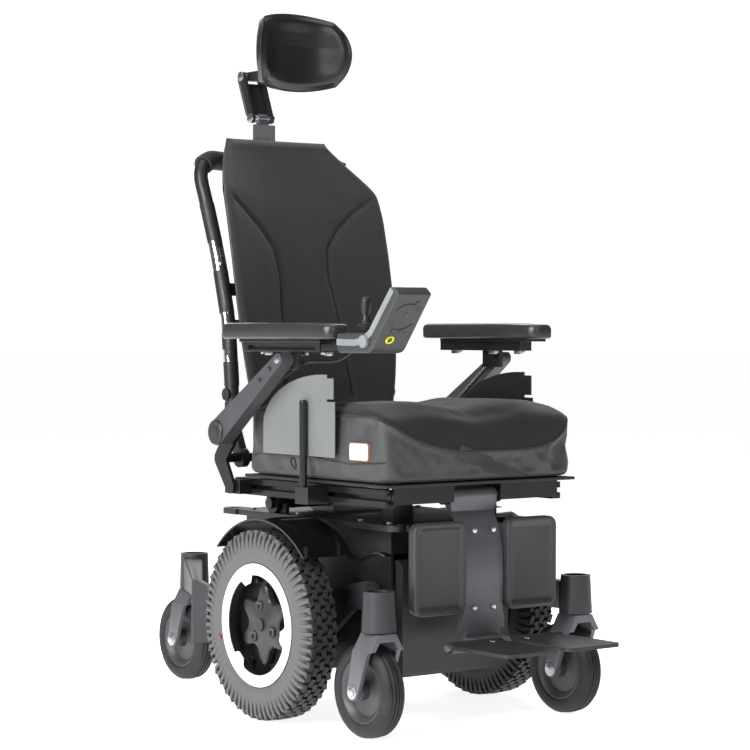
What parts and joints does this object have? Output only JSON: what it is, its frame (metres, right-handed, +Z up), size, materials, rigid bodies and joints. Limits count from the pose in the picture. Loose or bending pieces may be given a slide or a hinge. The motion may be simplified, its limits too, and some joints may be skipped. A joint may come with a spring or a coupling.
{
  "type": "power wheelchair",
  "caption": "Mid-wheel-drive power wheelchair with tilt and recline seating, flip-up armrests, joystick, headrest and centre legrest.",
  "frame": {"origin": "floor point below the middle of the chair's box", "axes": "+X towards the user's left, -Y the way the chair faces, +Z up"},
  "size_m": [0.52, 1.015, 1.214],
  "materials": {
    "frame_black": "black powder coat, satin",
    "box_black": "moulded black battery box",
    "battery_grey": "battery case, satin",
    "electronics_grey": "anodised finned case, dark grey",
    "shroud_black": "glossy moulded shroud",
    "arm_black": "black powder coat, satin",
    "motor_black": "black painted gearmotor",
    "rim_black": "black moulded wheel",
    "tyre_grey": "grey non-marking rubber",
    "fork_grey": "silver-grey powder coat",
    "caster_rim_grey": "grey moulded caster wheel",
    "caster_tyre_grey": "dark caster rubber",
    "rear_arm_grey": "dark grey powder coat",
    "steel_grey": "zinc plated drive case",
    "seat_black": "black anodised seat rails",
    "pan_black": "black seat pan",
    "cushion_fabric": "black stretch knit over foam",
    "guard_grey": "light grey moulded guard",
    "post_black": "black post and clamp",
    "cable_black": "black cable jacket",
    "grip_black": "black foam grip",
    "shell_black": "black back shell",
    "back_fabric": "black spacer mesh over foam",
    "bar_silver": "satin anodised bar",
    "link_black": "black link plates",
    "head_vinyl": "glossy black vinyl over foam",
    "swing_grey": "satin grey swing arm",
    "bracket_black": "black anodised bracket",
    "pad_urethane": "grey-black urethane armrest pad",
    "joystick_case": "grey moulded joystick case",
    "joystick_metal": "gimbal",
    "joystick_rubber": "black boot and knob",
    "key_white": "light key",
    "knob_white": "light knob",
    "column_grey": "satin silver-grey powder coat",
    "calf_grey": "moulded grey calf pad",
    "plate_black": "black textured footplate"
  },
  "bodies": {
    "base": {"chassis_frame": "frame_black", "battery_box": "box_black", "batteries": "battery_grey", "power_module": "electronics_grey", "fenders": "shroud_black", "tilt_drive": "steel_grey"},
    "drive_arm_right": {"drive_arm_right": "arm_black", "gearmotor_right": "motor_black"},
    "drive_wheel_right": {"drive_rim_right": "rim_black", "drive_tyre_right": "tyre_grey"},
    "front_fork_right": {"front_fork_right": "fork_grey"},
    "front_caster_right": {"front_caster_rim_right": "caster_rim_grey", "front_caster_tyre_right": "caster_tyre_grey"},
    "rear_arm_right": {"rear_arm_right": "rear_arm_grey"},
    "rear_fork_right": {"rear_fork_right": "fork_grey"},
    "rear_caster_right": {"rear_caster_rim_right": "caster_rim_grey", "rear_caster_tyre_right": "caster_tyre_grey"},
    "drive_arm_left": {"drive_arm_left": "arm_black", "gearmotor_left": "motor_black"},
    "drive_wheel_left": {"drive_rim_left": "rim_black", "drive_tyre_left": "tyre_grey"},
    "front_fork_left": {"front_fork_left": "fork_grey"},
    "front_caster_left": {"front_caster_rim_left": "caster_rim_grey", "front_caster_tyre_left": "caster_tyre_grey"},
    "rear_arm_left": {"rear_arm_left": "rear_arm_grey"},
    "rear_fork_left": {"rear_fork_left": "fork_grey"},
    "rear_caster_left": {"rear_caster_rim_left": "caster_rim_grey", "rear_caster_tyre_left": "caster_tyre_grey"},
    "seat": {"seat_frame": "seat_black", "seat_pan": "pan_black", "seat_cushion": "cushion_fabric", "skirt_guards": "guard_grey", "guard_posts": "post_black", "recline_drive": "steel_grey", "seat_cable": "cable_black"},
    "back": {"back_frame": "seat_black", "push_grip": "grip_black", "back_shell": "shell_black", "back_cushion": "back_fabric"},
    "headrest_bar": {"headrest_bar": "bar_silver"},
    "headrest_link": {"headrest_link": "link_black"},
    "headrest_pad": {"headrest_pad": "head_vinyl"},
    "armrest_right": {"swing_arm_right": "swing_grey", "arm_bracket_right": "bracket_black", "arm_pad_right": "pad_urethane", "joystick_lead": "cable_black", "joystick_box": "joystick_case"},
    "armrest_left": {"swing_arm_left": "swing_grey", "arm_bracket_left": "bracket_black", "arm_pad_left": "pad_urethane"},
    "joystick_gimbal": {"joystick_gimbal": "joystick_metal"},
    "joystick_stick": {"joystick_stick": "joystick_rubber"},
    "joystick_key": {"joystick_key": "key_white"},
    "speed_knob": {"speed_knob": "knob_white"},
    "legrest": {"legrest_column": "column_grey"},
    "calf_pad_right": {"calf_pad_right": "calf_grey"},
    "footplate_right": {"footplate_right": "plate_black"},
    "calf_pad_left": {"calf_pad_left": "calf_grey"},
    "footplate_left": {"footplate_left": "plate_black"}
  },
  "joints": [
    {"name": "drive_arm_pivot_right", "type": "hinge", "parent": "base", "child": "drive_arm_right", "pos_m": [0, -0.1245, 0.205], "axis": [1, 0, 0], "range_deg": [-6, 6]},
    {"name": "drive_wheel_spin_right", "type": "hinge", "parent": "drive_arm_right", "child": "drive_wheel_right", "pos_m": [-0.23, -0.0295, 0.158], "axis": [1, 0, 0], "continuous": true},
    {"name": "front_swivel_right", "type": "hinge", "parent": "drive_arm_right", "child": "front_fork_right", "pos_m": [-0.207, -0.2995, 0.2], "axis": [0, 0, 1], "continuous": true},
    {"name": "front_caster_spin_right", "type": "hinge", "parent": "front_fork_right", "child": "front_caster_right", "pos_m": [-0.207, -0.2735, 0.076], "axis": [1, 0, 0], "continuous": true},
    {"name": "rear_arm_pivot_right", "type": "hinge", "parent": "base", "child": "rear_arm_right", "pos_m": [0, 0.1585, 0.15], "axis": [1, 0, 0], "range_deg": [0, 8], "stiffness_Nm_per_rad": 300, "springref_deg": -20.05},
    {"name": "rear_swivel_right", "type": "hinge", "parent": "rear_arm_right", "child": "rear_fork_right", "pos_m": [-0.1, 0.4055, 0.2], "axis": [0, 0, 1], "continuous": true},
    {"name": "rear_caster_spin_right", "type": "hinge", "parent": "rear_fork_right", "child": "rear_caster_right", "pos_m": [-0.1, 0.4315, 0.076], "axis": [1, 0, 0], "continuous": true},
    {"name": "drive_arm_pivot_left", "type": "hinge", "parent": "base", "child": "drive_arm_left", "pos_m": [0, -0.1245, 0.205], "axis": [1, 0, 0], "range_deg": [-6, 6]},
    {"name": "drive_wheel_spin_left", "type": "hinge", "parent": "drive_arm_left", "child": "drive_wheel_left", "pos_m": [0.23, -0.0295, 0.158], "axis": [1, 0, 0], "continuous": true},
    {"name": "front_swivel_left", "type": "hinge", "parent": "drive_arm_left", "child": "front_fork_left", "pos_m": [0.207, -0.2995, 0.2], "axis": [0, 0, 1], "continuous": true},
    {"name": "front_caster_spin_left", "type": "hinge", "parent": "front_fork_left", "child": "front_caster_left", "pos_m": [0.207, -0.2735, 0.076], "axis": [1, 0, 0], "continuous": true},
    {"name": "rear_arm_pivot_left", "type": "hinge", "parent": "base", "child": "rear_arm_left", "pos_m": [0, 0.1585, 0.15], "axis": [1, 0, 0], "range_deg": [0, 8], "stiffness_Nm_per_rad": 300, "springref_deg": -20.05},
    {"name": "rear_swivel_left", "type": "hinge", "parent": "rear_arm_left", "child": "rear_fork_left", "pos_m": [0.1, 0.4055, 0.2], "axis": [0, 0, 1], "continuous": true},
    {"name": "rear_caster_spin_left", "type": "hinge", "parent": "rear_fork_left", "child": "rear_caster_left", "pos_m": [0.1, 0.4315, 0.076], "axis": [1, 0, 0], "continuous": true},
    {"name": "seat_tilt", "type": "hinge", "parent": "base", "child": "seat", "pos_m": [0, 0.0825, 0.349], "axis": [-1, 0, 0], "range_deg": [0, 30]},
    {"name": "back_recline", "type": "hinge", "parent": "seat", "child": "back", "pos_m": [0, 0.1465, 0.425], "axis": [-1, 0, 0], "range_deg": [0, 45]},
    {"name": "headrest_height", "type": "slide", "parent": "back", "child": "headrest_bar", "axis": [0, 0, 1], "range_m": [-0.025, 0.06]},
    {"name": "headrest_link_swing", "type": "hinge", "parent": "headrest_bar", "child": "headrest_link", "pos_m": [0, 0.3335, 1.034], "axis": [-1, 0, 0], "range_deg": [-20, 20]},
    {"name": "headrest_pad_tilt", "type": "hinge", "parent": "headrest_link", "child": "headrest_pad", "pos_m": [0, 0.3645, 1.113], "axis": [-1, 0, 0], "range_deg": [-20, 15]},
    {"name": "armrest_flip_right", "type": "hinge", "parent": "seat", "child": "armrest_right", "pos_m": [0, 0.1085, 0.472], "axis": [-1, 0, 0], "range_deg": [0, 90]},
    {"name": "armrest_flip_left", "type": "hinge", "parent": "seat", "child": "armrest_left", "pos_m": [0, 0.1085, 0.472], "axis": [-1, 0, 0], "range_deg": [0, 90]},
    {"name": "joystick_fore_aft", "type": "hinge", "parent": "armrest_right", "child": "joystick_gimbal", "pos_m": [-0.216, -0.2775, 0.647], "axis": [1, 0, 0], "range_deg": [-16, 16], "stiffness_Nm_per_rad": 0.4},
    {"name": "joystick_side", "type": "hinge", "parent": "joystick_gimbal", "child": "joystick_stick", "pos_m": [-0.216, -0.2775, 0.647], "axis": [0, 1, 0], "range_deg": [-16, 16], "stiffness_Nm_per_rad": 0.4},
    {"name": "key_press", "type": "slide", "parent": "armrest_right", "child": "joystick_key", "axis": [0, 0, -1], "range_m": [0, 0.002], "stiffness_N_per_m": 800},
    {"name": "speed_knob_turn", "type": "hinge", "parent": "armrest_right", "child": "speed_knob", "pos_m": [-0.216, -0.3205, 0.628], "axis": [1, 0, 0], "range_deg": [-130, 130]},
    {"name": "legrest_lift", "type": "hinge", "parent": "seat", "child": "legrest", "pos_m": [0, -0.2725, 0.376], "axis": [-1, 0, 0], "range_deg": [0, 60]},
    {"name": "calf_pad_turn_right", "type": "hinge", "parent": "legrest", "child": "calf_pad_right", "pos_m": [-0.096, -0.2845, 0.264], "axis": [1, 0, 0], "range_deg": [-8, 8]},
    {"name": "footplate_flip_right", "type": "hinge", "parent": "legrest", "child": "footplate_right", "pos_m": [-0.063, -0.3635, 0.145], "axis": [-1, 0, 0], "range_deg": [0, 88]},
    {"name": "calf_pad_turn_left", "type": "hinge", "parent": "legrest", "child": "calf_pad_left", "pos_m": [0.096, -0.2845, 0.264], "axis": [1, 0, 0], "range_deg": [-8, 8]},
    {"name": "footplate_flip_left", "type": "hinge", "parent": "legrest", "child": "footplate_left", "pos_m": [0.063, -0.3635, 0.145], "axis": [-1, 0, 0], "range_deg": [0, 88]}
  ]
}
